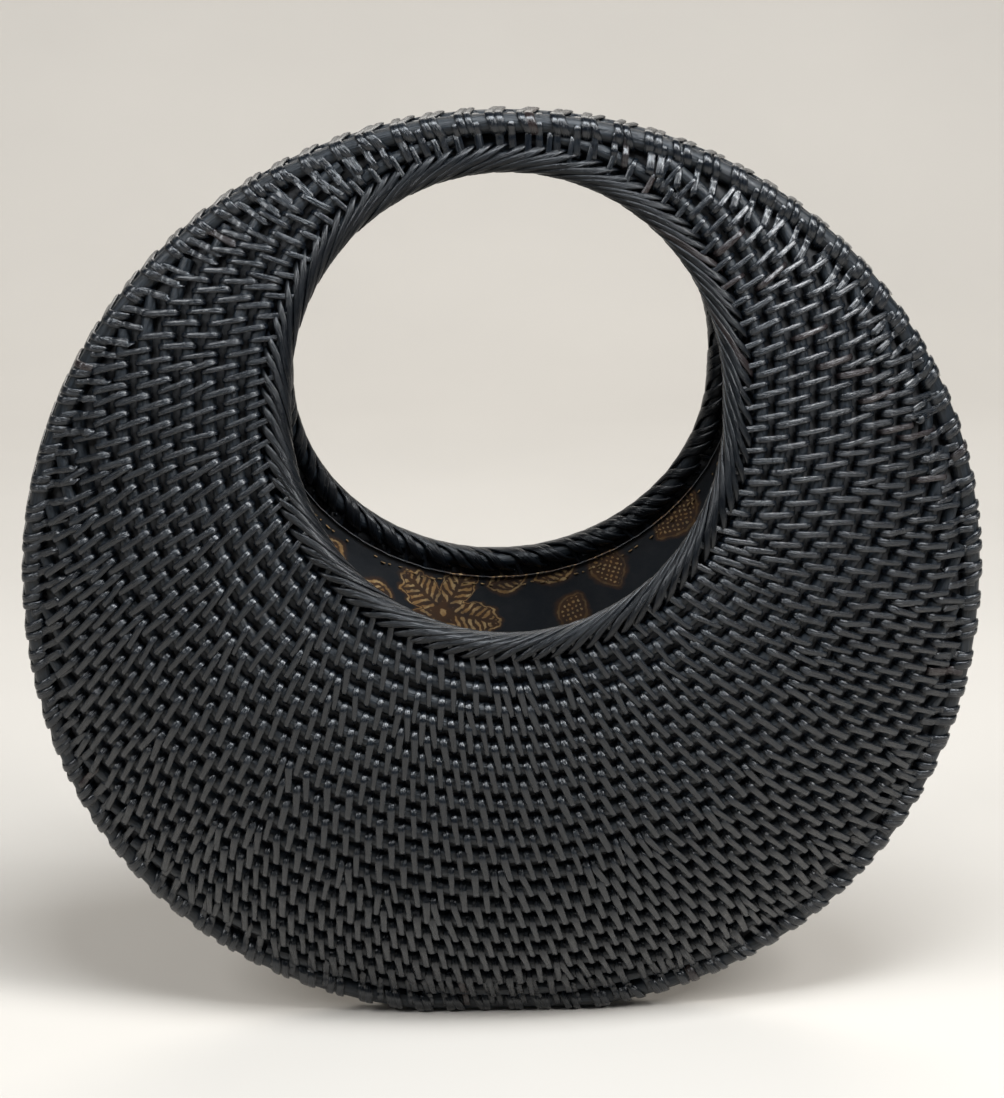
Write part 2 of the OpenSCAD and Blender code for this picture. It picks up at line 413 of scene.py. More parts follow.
def splintMaterial(name, look):
    material, tree, shader = newMaterial(name)
    uv = tree.nodes.new("ShaderNodeUVMap")
    uv.uv_map = "alongAndAcross"
    u, v, _ = separate(tree, uv.outputs[0])
    island = tree.nodes.new("ShaderNodeNewGeometry").outputs["Random Per Island"]
    fibre = groupNode(tree, fibreGroup, Along=u, Across=v,
                      Round=mathNode(tree, "MULTIPLY", island, 9.0), Fineness=2.4)
    shareUv = tree.nodes.new("ShaderNodeUVMap")
    shareUv.uv_map = "shares"
    share, down, _ = separate(tree, shareUv.outputs[0])
    tone = mathNode(tree, "MULTIPLY_ADD", fibre.outputs["Fibre"], 0.5,
                    mathNode(tree, "MULTIPLY", rangeNode(tree, fibre.outputs["Patches"], 0.35, 0.7), 0.35))
    tone = mathNode(tree, "MULTIPLY", tone, mathNode(tree, "MULTIPLY_ADD", island, 0.8, 0.5), clamp=True)
    # Splints lie flatter and rougher towards their tails, in the lower rows, and are painted paler there:
    # painted light standing in for the floor's reflection on the flat tails.
    tail = mathNode(tree, "MULTIPLY", rangeNode(tree, share, 0.45, 0.8), rangeNode(tree, down, 0.2, 0.55))
    tail = mathNode(tree, "MULTIPLY", tail, mathNode(tree, "MULTIPLY_ADD", island, 0.5, 0.5))
    colour = mixColours(tree, tone, look["colour"], look["pale"])
    # Painted light: the tails of the lower rows are mixed towards the paler tail colour.
    colour = mixColours(tree, tail, colour, look["tail"])
    brown = rangeNode(tree, island, 0.955, 0.965, 0.0, 0.6)
    setInput(tree, shader, "Base Color", mixColours(tree, brown, colour, look["brown"]))
    rough = rangeNode(tree, fibre.outputs["Patches"], 0.3, 0.7, look["rough"] - 0.06, look["rough"] + 0.12)
    setInput(tree, shader, "Roughness", mathNode(tree, "MULTIPLY_ADD", tail, 0.16, rough))
    shader.inputs["Specular IOR Level"].default_value = look["specular"]
    shader.inputs["Coat Weight"].default_value = look["coat"]
    shader.inputs["Coat Roughness"].default_value = 0.2
    setInput(tree, shader, "Normal", bumpNode(tree, fibre.outputs["Height"], 0.8, 0.0005))
    return material


def caneMaterial(name, ringed):
    # Round cane. Rods run round the mouth, so the angle round its middle is the way along them.
    look = finish["rod"]
    material, tree, shader = newMaterial(name)
    if ringed:
        x, y, z = separate(tree, tree.nodes.new("ShaderNodeTexCoord").outputs["Object"])
        z = mathNode(tree, "SUBTRACT", z, centreZ * mm)
        angle = mathNode(tree, "ARCTAN2", x, mathNode(tree, "MULTIPLY", z, -1.0))
        away = mathNode(tree, "SQRT", mathNode(tree, "ADD", mathNode(tree, "POWER", x, 2.0),
                                               mathNode(tree, "POWER", z, 2.0)))
        along = mathNode(tree, "MULTIPLY", angle, look["radius"])
        across, around = mathNode(tree, "DIVIDE", away, mm), mathNode(tree, "DIVIDE", y, mm)
    else:
        uv = tree.nodes.new("ShaderNodeUVMap")
        uv.uv_map = "alongAndAcross"
        along, across, _ = separate(tree, uv.outputs[0])
        around = mathNode(tree, "MULTIPLY", across, 0.2)
    fibre = groupNode(tree, fibreGroup, Along=along, Across=across, Round=around, Fineness=1.9)
    tone = mathNode(tree, "MULTIPLY_ADD", fibre.outputs["Fibre"], 0.7,
                    mathNode(tree, "MULTIPLY", rangeNode(tree, fibre.outputs["Patches"], 0.35, 0.7), 0.3),
                    clamp=True)
    setInput(tree, shader, "Base Color", mixColours(tree, tone, look["colour"], look["pale"]))
    setInput(tree, shader, "Roughness", rangeNode(tree, fibre.outputs["Patches"], 0.3, 0.7,
                                                  look["rough"] - 0.06, look["rough"] + 0.16))
    shader.inputs["Specular IOR Level"].default_value = look["specular"]
    shader.inputs["Coat Weight"].default_value = look["coat"]
    shader.inputs["Coat Roughness"].default_value = 0.3
    setInput(tree, shader, "Normal", bumpNode(tree, fibre.outputs["Height"], 0.8, 0.0004))
    return material


def threadMaterial():
    material, tree, shader = newMaterial("sewing_thread")
    place = tree.nodes.new("ShaderNodeTexCoord").outputs["Object"]
    twist = noiseNode(tree, place, 900.0, 2.0)
    pale = finish["thread"]["colour"]
    dark = tuple(c * 0.35 for c in pale)
    setInput(tree, shader, "Base Color", mixColours(tree, rangeNode(tree, twist, 0.3, 0.65), dark, pale))
    shader.inputs["Roughness"].default_value = 0.75
    setInput(tree, shader, "Normal", bumpNode(tree, twist, 0.6, 0.0003))
    return material


rodCane = caneMaterial("lacquered_rod", True)
hoopCane = caneMaterial("lacquered_hoop", False)
splintCane = splintMaterial("lacquered_splint", finish["splint"])
rimCane = splintMaterial("lacquered_rim_splint", finish["rimSplint"])
goldThread = threadMaterial()
print("cane and thread ready")

# Camera, lights and floor. An azimuth of 0 is in front of the bag.
studio = {
    "azimuth": 2.5, "elevation": 17.0, "distance": 1206, "focal": 118.6,
    "aim": (-0.7, 0, 165),
    "world": (0.80, 0.88, 1.0), "worldPower": 0.08, "room": (0.62, 0.59, 0.55),
    "floor": (0.50, 0.465, 0.42), "floorReach": 4000, "wallY": 1400, "wallHigh": 3000, "bend": 600,
    # name, azimuth, elevation, distance, size, power, colour
    "lamps": [
        ("skylight", -15, 66, 1300, (700, 350), 21, (0.88, 0.94, 1.0)),
        ("window_right", -55, 42, 1400, (220, 620), 20, (0.96, 0.98, 1.0)),
        ("window_left", 58, 38, 1500, (220, 620), 13, (0.94, 0.97, 1.0)),
        ("back_glow", 180, 40, 1400, (1400, 500), 9, (1.0, 0.97, 0.92)),
    ],
}


def lookFrom(azimuth, elevation, distance, aim):
    # A place to stand: a positive azimuth is towards -X.
    a, e = math.radians(azimuth), math.radians(elevation)
    way = Vector((math.sin(a) * math.cos(e), math.cos(a) * math.cos(e), -math.sin(e)))
    return Vector(aim) * mm - way * distance * mm, way.to_track_quat("-Z", "Y").to_euler()


def makeCamera():
    data = bpy.data.cameras.new("camera")
    data.sensor_fit = "VERTICAL"
    data.sensor_height = 36
    data.lens = studio["focal"]
    camera = bpy.data.objects.new("camera", data)
    camera.location, camera.rotation_euler = lookFrom(
        studio["azimuth"], studio["elevation"], studio["distance"], studio["aim"])
    bpy.context.scene.collection.objects.link(camera)
    bpy.context.scene.camera = camera


def makeLamp(name, azimuth, elevation, distance, size, power, colour):
    data = bpy.data.lights.new(name, "AREA")
    data.shape, data.size, data.size_y = "RECTANGLE", size[0] * mm, size[1] * mm
    data.energy, data.color = power, colour
    lamp = bpy.data.objects.new(name, data)
    lamp.location, lamp.rotation_euler = lookFrom(azimuth, elevation, distance, (0, 0, 150))
    bpy.context.scene.collection.objects.link(lamp)


def makeWorld():
    # The camera sees a pale room, and the bag is lit by a dimmer, cooler one.
    world = bpy.data.worlds.new("studio")
    world.use_nodes = True
    tree = world.node_tree
    seen = tree.nodes.new("ShaderNodeLightPath").outputs["Is Camera Ray"]
    dim = tuple(c * studio["worldPower"] for c in studio["world"])
    setInput(tree, tree.nodes["Background"], 0, mixColours(tree, seen, dim, studio["room"]))
    bpy.context.scene.world = world
    bpy.context.scene.view_settings.view_transform = "Standard"  # keeps the contrast of the dark cane


def makeFloor():
    # A floor that bends up into a wall behind the bag.
    reach, wallY, bend = studio["floorReach"], studio["wallY"], studio["bend"]
    profile = [(-reach, 0), (wallY - bend, 0)]
    profile += [(wallY - bend + bend * math.sin(t), bend - bend * math.cos(t))
                for t in np.linspace(0, math.pi / 2, 12)[1:]]
    profile += [(wallY, studio["wallHigh"])]
    points = [(x, y, z) for y, z in profile for x in (-reach, reach)]
    faces = [(2 * i, 2 * i + 1, 2 * i + 3, 2 * i + 2) for i in range(len(profile) - 1)]
    material, tree, shader = newMaterial("pale_floor")
    place = tree.nodes.new("ShaderNodeTexCoord").outputs["Object"]
    cloud = rangeNode(tree, noiseNode(tree, place, 3.0, 4.0), 0.3, 0.7)
    pale = studio["floor"]
    setInput(tree, shader, "Base Color", mixColours(tree, cloud, tuple(c * 0.94 for c in pale), pale))
    shader.inputs["Roughness"].default_value = 0.8
    # From behind and from below the floor is clear, so the bag shows from every side.
    clear, mixed = tree.nodes.new("ShaderNodeBsdfTransparent"), tree.nodes.new("ShaderNodeMixShader")
    setInput(tree, mixed, 0, tree.nodes.new("ShaderNodeNewGeometry").outputs["Backfacing"])
    setInput(tree, mixed, 1, shader.outputs[0])
    setInput(tree, mixed, 2, clear.outputs[0])
    setInput(tree, tree.nodes["Material Output"], 0, mixed.outputs[0])
    floor = makePiece("floor", points, faces, material)


makeCamera()
for lamp in studio["lamps"]:
    makeLamp(*lamp)
makeWorld()
makeFloor()
print("camera, lights and floor ready")

# Stitches over the rods. Slants are degrees at turns round the mouth, on each half of the face.
stitch = {
    "spacing": 6.5, "width": 2.35, "thick": 0.75, "backThick": 0.3, "corners": 8,
    "jitter": 0.35, "hoopMargin": 6.5, "endGap": 1.5, "rimSink": 2.2, "seed": 11,
    "leftSlant": ((0, 1.2, 2.0, 2.6), (14, 22, 20, 4)), "rightSlant": ((0, 1.2, 2.6), (13, 12, 6)),
}


def headsBetween(tails, limit, rng):
    # A splint starts between two that end on its rod; a wide gap takes an extra one.
    gaps = np.diff(tails)
    target = (tails[-1] - tails[0]) / stitch["spacing"]
    extra = max(0, round(target - len(gaps)))
    wide = set(np.argsort([-g + rng.random() * 1.5 for g in gaps])[:extra].tolist())
    heads = []
    for i, gap in enumerate(gaps):
        shares = (0.34, 0.68) if i in wide else (0.5,)
        heads += [tails[i] + share * gap for share in shares]
    while heads[0] - stitch["spacing"] > -limit:
        heads.insert(0, heads[0] - stitch["spacing"])
    while heads[-1] + stitch["spacing"] < limit:
        heads.append(heads[-1] + stitch["spacing"])
    return heads


def placeRows():
    # Where each row's splints start on one rod and end on the next one.
    rng = random.Random(stitch["seed"])
    rings = [rimRing] + rodRings
    rows, tails = [], None
    for upper, lower in zip(rings, rings[1:]):
        limit = min(upper.end, lower.end + 4) - stitch["endGap"]
        if tails is None:
            count = int(limit / stitch["spacing"])
            heads = [stitch["spacing"] * i for i in range(-count, count + 1)]
        else:
            heads = headsBetween(tails, limit, rng)
        heads = np.array([h for h in heads if abs(h) < limit])
        middle = (upper.at(heads) + lower.at(upper.match(lower, heads))) / 2
        heads = heads[[isInside(x, z, stitch["hoopMargin"]) for x, _, z in middle]]
        wobble = np.array([rng.uniform(-1, 1) for _ in heads]) * stitch["jitter"]
        pitch = (upper.z - lower.z) * 1.05
        a, _ = upper.spot(heads)
        turn = np.where(heads < 0, np.interp(a, *stitch["leftSlant"]), np.interp(a, *stitch["rightSlant"]))
        ends = upper.match(lower, heads) + pitch * np.tan(np.radians(turn)) + wobble
        even = ends.copy()
        # Crowded tails are eased apart.
        for _ in range(6):
            even[1:-1] = 0.5 * even[1:-1] + 0.25 * (even[2:] + even[:-2])
        ends = ends + np.clip(even - ends, -0.8, 0.8)
        rows.append((upper, lower, heads, ends))
        tails = ends
    return rows


def stitchPath(pitch, upperR, lowerR, upperBack, lowerBack):
    # A closed loop round two rods: how far it is on its way for each splint, and its heights.
    head = np.radians((205, 180, 155, 130, 105, 85))
    tail = np.radians((95, 72, 48, 22, 0, -22))
    middle = np.array((0.36, 0.6))
    pitch = pitch[:, None]
    start = np.zeros_like(pitch)
    run = np.concatenate([start + upperR * np.cos(head), pitch * middle, pitch + lowerR * np.cos(tail),
                          pitch + lowerR * 0.35, pitch * 0.5, start - upperR * 0.35], 1)
    up = np.concatenate([upperR * np.sin(head), upperR + (lowerR - upperR) * middle - 0.15,
                         lowerR * np.sin(tail), (-lowerBack, -lowerBack, -upperBack)])
    return run, up


def buildStitchRow(number, row, rng):
    upper, lower, heads, ends = row
    count, down = len(heads), number / rodCount
    start, stop = upper.at(heads), lower.at(ends)
    along = unit(upper.at(heads + 0.5) - upper.at(heads - 0.5))
    way = stop - start
    pitch = np.linalg.norm(way, axis=1)
    way = unit(way)
    outward = unit(np.cross(way, along))
    outward = outward * np.where(outward[:, 1:2] > 0, -1, 1)
    acrossDir = np.cross(way, outward)
    thick = stitch["thick"] * (1 + 0.15 * rng.uniform(-1, 1, count))
    upperR = rimR - stitch["rimSink"] if number == 0 else rodR  # the first row starts in the bound rim
    run, up = stitchPath(pitch, upperR + stitch["thick"] / 2, rodR + stitch["thick"] / 2,
                         upperR + 0.15, rodR + 0.15)
    rings = run.shape[1]
    up = up + np.interp(np.arange(rings), (2, 5, 9, 12), (0, 0.5, 0, -0.1))
    bow = rng.uniform(-0.35, 0.35, count)[:, None] * np.sin(np.linspace(0, math.pi * 1.2, rings))
    paths = (start[:, None] + way[:, None] * run[..., None] + outward[:, None] * up[:, None]
             + acrossDir[:, None] * bow[..., None])
    tangent = unit(np.roll(paths, -1, 1) - np.roll(paths, 1, 1))
    across = np.broadcast_to(acrossDir[:, None], paths.shape)
    normal = unit(np.cross(across, tangent))
    width = stitch["width"] * (1 + 0.14 * rng.uniform(-1, 1, count))[:, None] * (0.88 + 0.16 * down)
    profile = np.interp(np.arange(rings), (0, 3, 6, 13, rings), (0.85, 1.08, 1.0, 0.68 + 0.3 * down, 0.8))
    thickness = np.ones(rings)
    thickness[-3:] = stitch["backThick"] / stitch["thick"]
    points, faces, uv = sweepStrands(paths, across, normal, width * profile, thick[:, None] * thickness,
                                     stitch["corners"], closed=True, groove=0.25)
    headToTail = np.tile(np.interp(np.arange(rings), (0, 13, 14), (0, 1, 0)), count)
    share = np.stack([np.repeat(headToTail, stitch["corners"]), np.full(len(points), down)], -1)
    return points, faces, uv, share


def buildStitching():
    rows = placeRows()
    total = 0
    for side, sign in sides.items():
        rng = np.random.default_rng(stitch["seed"] + (sign < 0))
        for number, row in enumerate(rows):
            points, faces, uv, share = buildStitchRow(number, row, rng)
            name = f"{side}_stitch_row_{number + 1:02d}"
            piece = makePiece(name, points, faces, splintCane, uv, sign, share)
            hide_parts(side + "_stitching")
            total += len(row[2])
    print("stitching ready:", total, "splints")


buildStitching()

# The splints' runs behind the rods, as one thin layer; its near-black, dull colour is painted shade for the
# gaps between the rods.
innerRuns = {"depth": 1.1, "thick": 0.4, "step": 4.0}


def shadedRunsMaterial():
    # A darker, duller copy of the splint cane: painted shade for the gaps between the rods.
    look = finish["inner"]
    material, tree, shader = newMaterial("splint_runs_painted_shade")
    place = tree.nodes.new("ShaderNodeTexCoord").outputs["Object"]
    tone = rangeNode(tree, noiseNode(tree, place, 260.0, 3.0), 0.35, 0.7)
    setInput(tree, shader, "Base Color", mixColours(tree, tone, look["colour"], look["pale"]))
    shader.inputs["Roughness"].default_value = look["rough"]
    setInput(tree, shader, "Normal", bumpNode(tree, tone, 0.5, 0.0004))
    return material


def buildInnerRuns():
    # Strips between neighbouring rings, from the rim to the hoops.
    heights = [sillZ - rimR * 0.5] + [ring.z for ring in rodRings] + [edge + 1.0]
    inside = shadedRunsMaterial()
    rings = [Ring(z, margin=0.5) for z in heights]
    depth, thick = innerRuns["depth"], innerRuns["thick"]
    for side, sign in sides.items():
        allPoints, allFaces, offset = [], [], 0
        for upper, lower in zip(rings, rings[1:]):
            limit = min(upper.end, upper.length(math.pi) - 0.01)
            count = int(2 * limit / innerRuns["step"])
            s = np.linspace(-limit, limit, count)
            low = np.clip(upper.match(lower, s), -lower.end, lower.end)
            strip = np.stack([upper.at(s, depth=depth), lower.at(low, depth=depth),
                              lower.at(low, depth=depth + thick), upper.at(s, depth=depth + thick)], 1)
            faces = tubeFaces(1, count, 4, False)
            allPoints.append(strip.reshape(-1, 3))
            allFaces.append(faces + offset)
            offset += count * 4
        points = np.concatenate(allPoints)
        points[:, 2] = np.maximum(points[:, 2], 0.3)
        piece = makePiece(side + "_inner_runs", points, np.concatenate(allFaces), inside,
                          None, sign)
        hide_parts(side + "_stitching")


buildInnerRuns()
print("inner runs ready")

# The two hoops, a little uneven.
hoop = {"steps": 360, "corners": 16, "wander": 0.12, "seed": 5}


def outlineFrame(angles):
    # Points, directions along and outward normals of the outline, as x, y, z.
    here, before, after = (np.array([outlineAt(a) for a in angles + step]) for step in (0, -0.01, 0.01))
    way = unit(after - before)
    flat = np.zeros(len(angles))
    point = np.stack([here[:, 0], flat, here[:, 1]], -1)
    along = np.stack([way[:, 0], flat, way[:, 1]], -1)
    outward = np.stack([way[:, 1], flat, -way[:, 0]], -1)
    return point, along, outward


def evenAngles(count):
    # Angles spaced evenly by length round the outline, and the outline's whole length.
    fine = np.linspace(0, 2 * math.pi, 1441)
    run = runAlong(np.array([outlineAt(a) for a in fine]))
    return np.interp(np.arange(count) / count * run[-1], run, fine), run[-1]


def buildHoops():
    steps, corners = hoop["steps"], hoop["corners"]
    angles, length = evenAngles(steps)
    point, _, outward = outlineFrame(angles)
    turn = np.arange(corners) * 2 * math.pi / corners
    for side, sign in sides.items():
        rng = np.random.default_rng(hoop["seed"] + sign)
        phase = rng.uniform(0, 6.28, 3)
        wave = sum(np.sin(n * angles + p) for n, p in zip((7, 13, 22), phase)) / 3 * hoop["wander"]
        centre = point + np.array([0, -hoopY, 0]) + outward * wave[:, None]
        ring = (centre[:, None] + hoopR * (np.cos(turn)[:, None] * outward[:, None]
                                           + np.sin(turn)[:, None] * np.array([0, 1, 0])))
        ring[..., 2] = np.maximum(ring[..., 2], edge - hoopR)
        uv = np.stack(np.broadcast_arrays((np.arange(steps) * length / steps)[:, None],
                                          (turn * hoopR)[None]), -1)
        faces = tubeFaces(1, steps, corners, True)
        piece = makePiece(side + "_hoop", ring, faces, hoopCane, uv.reshape(-1, 2), sign)
        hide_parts(side + "_edge_hoop")


# The lashing: splints in pairs round both hoops.
lashing = {"pairs": 96, "pairGap": 1.5, "width": 2.8, "thick": 0.9, "slant": 1.3, "rings": 28, "seed": 5}


def lashingSection(rings, radius):
    # Points round both hoops: outwards and to the back.
    a = np.linspace(0, 2 * math.pi, rings, endpoint=False) + math.pi / rings
    return radius * np.cos(a), np.sign(np.sin(a)) * (hoopY + radius * np.abs(np.sin(a)))


def buildLashing():
    rng = np.random.default_rng(lashing["seed"])
    count = 2 * lashing["pairs"]
    middle, length = evenAngles(count)
    shift = np.where(np.arange(count) % 2 == 0, 1, -1) * (length / count / 2 - lashing["pairGap"])
    shift = shift + rng.uniform(-0.5, 0.5, count)
    angles = middle + shift / length * 2 * math.pi
    point, along, outward = outlineFrame(angles)
    rings = lashing["rings"]
    radius = hoopR + lashing["thick"] / 2
    out, back = lashingSection(rings, radius)
    slant = lashing["slant"] * (1 + rng.uniform(-0.6, 0.6, count))
    drift = slant[:, None] * out / radius * np.sign(back) * -1
    paths = (point[:, None] + outward[:, None] * out[None, :, None]
             + np.array([0, 1, 0]) * back[None, :, None] + along[:, None] * drift[..., None])
    paths[..., 2] = np.maximum(paths[..., 2], lashing["thick"] / 2)
    tangent = unit(np.roll(paths, -1, 1) - np.roll(paths, 1, 1))
    across = unit(np.broadcast_to(along[:, None], paths.shape)
                  - tangent * (tangent * along[:, None]).sum(-1, keepdims=True))
    up = np.cross(tangent, across)
    up = up * np.sign((up * (paths - point[:, None])).sum(-1, keepdims=True))
    width = lashing["width"] * (1 + rng.uniform(-0.15, 0.2, count))[:, None] * np.ones(rings)
    thick = np.full((count, rings), lashing["thick"])
    points, faces, uv = sweepStrands(paths, across, up, width, thick, closed=True, groove=0.2)
    points[:, 2] = np.maximum(points[:, 2], 0.02)
    piece = makePiece("edge_lashing_splints", points, faces, splintCane, uv)
    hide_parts("edge_lashing")


buildHoops()
buildLashing()
print("hoops and lashing ready")

# The binding of the rims: long splints that lie over one another like shingles.
binding = {"pitch": 5.5, "width": 2.5, "thick": 1.1, "length": 40, "tilt": 0.22, "rings": 30, "seed": 23}


def rimFrame(s):
    # The rim's middle line and its directions: along, outwards from the mouth, and to the front.
    point = rimRing.at(s)
    along = unit(rimRing.at(s + 0.4) - rimRing.at(s - 0.4))
    out = unit(rimRing.at(s, out=1.0) - point)
    front = np.cross(along, out)
    front = front * np.where(front[..., 1:2] > 0, -1, 1)
    return point, along, out, front


def buildBinding():
    whole = 2 * (rimRing.quarter * 2 + 2 * halfStraight)
    count = int(whole / binding["pitch"])
    rings = binding["rings"]
    for side, sign in sides.items():
        rng = np.random.default_rng(binding["seed"] + sign)
        starts = (np.arange(count) + rng.uniform(-0.16, 0.16, count)) * whole / count
        share = np.linspace(0, 1, rings)
        # The turn starts outside and behind, and goes over the front to the mouth and inside.
        turn = np.radians(np.interp(share, (0, 0.12, 0.34, 0.74, 1), (-128, -72, -10, 100, 232)))
        run = np.interp(share, (0, 0.12, 0.34, 0.74, 1), (0, 0.04, 0.20, 0.77, 1.0))
        length = binding["length"] * (1 + rng.uniform(-0.08, 0.08, count))
        s = starts[:, None] + length[:, None] * run
        s = (s + whole / 2) % whole - whole / 2
        point, along, out, front = rimFrame(s)
        lift = np.interp(share, (0, 0.07, 0.14, 0.3, 0.8, 1), (-0.4, 1.1, 1.0, 0.15, -0.1, -0.4))
        radius = rimR - binding["thick"] * 0.45 + lift
        ray = -np.sin(turn)[:, None] * out + np.cos(turn)[:, None] * front
        paths = point + ray * radius[:, None]
        tangent = unit(np.gradient(paths, axis=1))
        up = unit(ray - tangent * (ray * tangent).sum(-1, keepdims=True))
        across = np.cross(tangent, up)
        across = across * np.sign((across * along).sum(-1, keepdims=True))
        tilt = binding["tilt"] * np.interp(share, (0, 0.15, 0.3, 1), (0, 0.3, 1, 1))[None, :, None]
        across, up = unit(across + up * tilt), unit(up - across * tilt)
        width = binding["width"] * (1 + rng.uniform(-0.15, 0.12, count))[:, None]
        width = width * np.interp(share, (0, 0.08, 0.2, 0.7, 0.85, 1), (0.6, 0.8, 1.0, 1.0, 1.45, 1.4))
        thick = np.full((count, rings), binding["thick"])
        points, faces, uv = sweepStrands(paths, across, up, width, thick, groove=0.3)
        piece = makePiece(side + "_rim_splints", points, faces, rimCane, uv, sign)
        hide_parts(side + "_rim_binding")


buildBinding()
print("rims bound")

# Straps between the hoops and the rods. They turn from the way to the mouth, by degrees round the outline.
strap = {
    "spacing": 6.2, "width": 2.6, "thick": 0.65, "reach": (7.5, 11.5), "topReach": 10.5, "rings": 12,
    "turns": ((0, 90, 150, 180, 215, 270, 360), (14, 12, 22, 5, 16, 20, 14)), "seed": 31,
}


def faceSamples():
    # Points of the front face with their outward normals.
    points, normals = [], []
    for z in np.linspace(sillZ - rimR, edge + 3, 60):
        ring = Ring(z)
        s = np.linspace(-ring.end, ring.end, 260)
        points.append(ring.at(s))
        lower = Ring(z - 1.0)
        way = unit(lower.at(ring.match(lower, s)) - ring.at(s))
        along = unit(ring.at(s + 0.5) - ring.at(s - 0.5))
        normal = unit(np.cross(way, along))
        normals.append(normal * np.where(normal[:, 1:2] > 0, -1, 1))
    return np.concatenate(points), np.concatenate(normals)


facePoints, faceNormals = faceSamples()


def faceHeight(x, z):
    # The face's own y and normal at places of the front view, from its nearest samples.
    places = np.stack([x.ravel(), z.ravel()], -1)
    near = np.concatenate([((some[:, None] - facePoints[None, :, (0, 2)]) ** 2).sum(-1).argmin(1)
                           for some in np.array_split(places, len(places) // 200 + 1)])
    n, p = faceNormals[near], facePoints[near]
    d = places - p[:, (0, 2)]
    y = p[:, 1] - (n[:, 0] * d[:, 0] + n[:, 2] * d[:, 1]) / n[:, 1]
    return y.reshape(x.shape), n.reshape(*x.shape, 3)


def buildStraps():
    count = int(evenAngles(4)[1] / strap["spacing"])
    share = np.linspace(0, 1, strap["rings"])
    for side, sign in sides.items():
        rng = np.random.default_rng(strap["seed"] + sign)
        angles = evenAngles(count)[0] + rng.uniform(-0.25, 0.25, count) * 2 * math.pi / count
        point, along, outward = outlineFrame(angles)
        reach = rng.uniform(*strap["reach"], count) + hoopR
        inward = unit(unit((0, 0, centreZ) - point) * 0.6 - outward * 0.4)
        turn = np.interp(np.degrees(angles) % 360, *strap["turns"])
        turned = unit(inward - along * np.radians(turn)[:, None])
        # The band between the hoop and the rim is narrow at the top.
        high = np.clip((point[:, 2] - (centreZ + 40)) / 60, 0, 1)
        reach = reach * (1 - high) + np.minimum(reach, strap["topReach"]) * high
        spots = (point[:, None] + outward[:, None] * hoopR * 0.2
                 + turned[:, None] * (reach[:, None] * share)[..., None])
        y, slope = faceHeight(spots[..., 0], spots[..., 2])
        # A strap lies on the hoop first and then on the rods, and its end goes down between them.
        off = ((spots - point[:, None]) * outward[:, None]).sum(-1)
        onHoop = -hoopY - np.sqrt(np.maximum((hoopR + strap["thick"] / 2) ** 2 - off ** 2, 0))
        lift = (rodR + strap["thick"] * 0.8) * np.interp(share, (0, 0.85, 0.94, 1), (1, 0.95, 0.4, -0.9))
        onFace = y - lift
        blend = np.interp(share, (0.12, 0.42), (0, 1))
        spots[..., 1] = onHoop * (1 - blend) + onFace * blend
        start = spots[:, :1] * (1, 0, 1) - np.array([0, hoopY * 0.6, 0]) + outward[:, None] * hoopR * 0.75
        paths = np.concatenate([start, spots], 1)
        tangent = unit(np.gradient(paths, axis=1))
        normal = np.concatenate([outward[:, None], slope], 1)
        normal[:, :3] = unit(outward[:, None] * np.array([1, 0.7, 0.3])[:, None] + np.array([0, -1, 0]))
        up = unit(normal - tangent * (normal * tangent).sum(-1, keepdims=True))
        across = np.cross(tangent, up)
        width = strap["width"] * (1 + rng.uniform(-0.2, 0.15, count))[:, None] * np.ones(paths.shape[1])
        width[:, -1] *= 0.6
        thick = np.full(width.shape, strap["thick"])
        points, faces, uv = sweepStrands(paths, across, up, width, thick, groove=0.2)
        points[:, 2] = np.maximum(points[:, 2], 0.05)
        piece = makePiece(side + "_edge_straps", points, faces, splintCane, uv, sign)
        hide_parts(side + "_stitching")


buildStraps()
print("straps ready")

# The lining and the drawings on it.
lining = {
    "reach": 125, "columns": 180, "rows": 34, "gap": 0.4, "thick": 0.8, "margin": 4.0,
    "pucker": 0.8, "fold": 1.3, "seed": 41,
    "flat": (0.300, 0.245), "area": 0.0505,  # the cut cloth, in metres
    # petals (0 for a leaf), dotted, x, z, length, width, turn
    "drawings": [
        (5, 0, -19.5, 130, 20, 0, 24), (0, 0, 3, 141, 7, 4, 15), (0, 0, 20, 145, 8, 4, 25),
        (0, 1, 38, 147, 9, 6, -60), (0, 1, 61, 167, 11, 7, 60), (0, 1, 26, 130, 7, 5, 70),
        (0, 0, -43, 139, 6, 3, -30), (0, 0, -58, 155, 6, 3, -50), (0, 1, -66, 128, 11, 6, 40),
        (5, 0, 60, 112, 18, 0, 30), (0, 0, 34, 100, 10, 5, 150), (5, 0, -62, 96, 17, 0, 55),
        (0, 1, -30, 92, 11, 6, -20), (5, 0, 6, 80, 18, 0, 10), (0, 0, 88, 150, 9, 4, 100),
        (0, 0, -92, 148, 9, 4, 80), (0, 1, 42, 66, 11, 6, 30), (0, 0, -38, 62, 10, 5, 160),
    ],
}


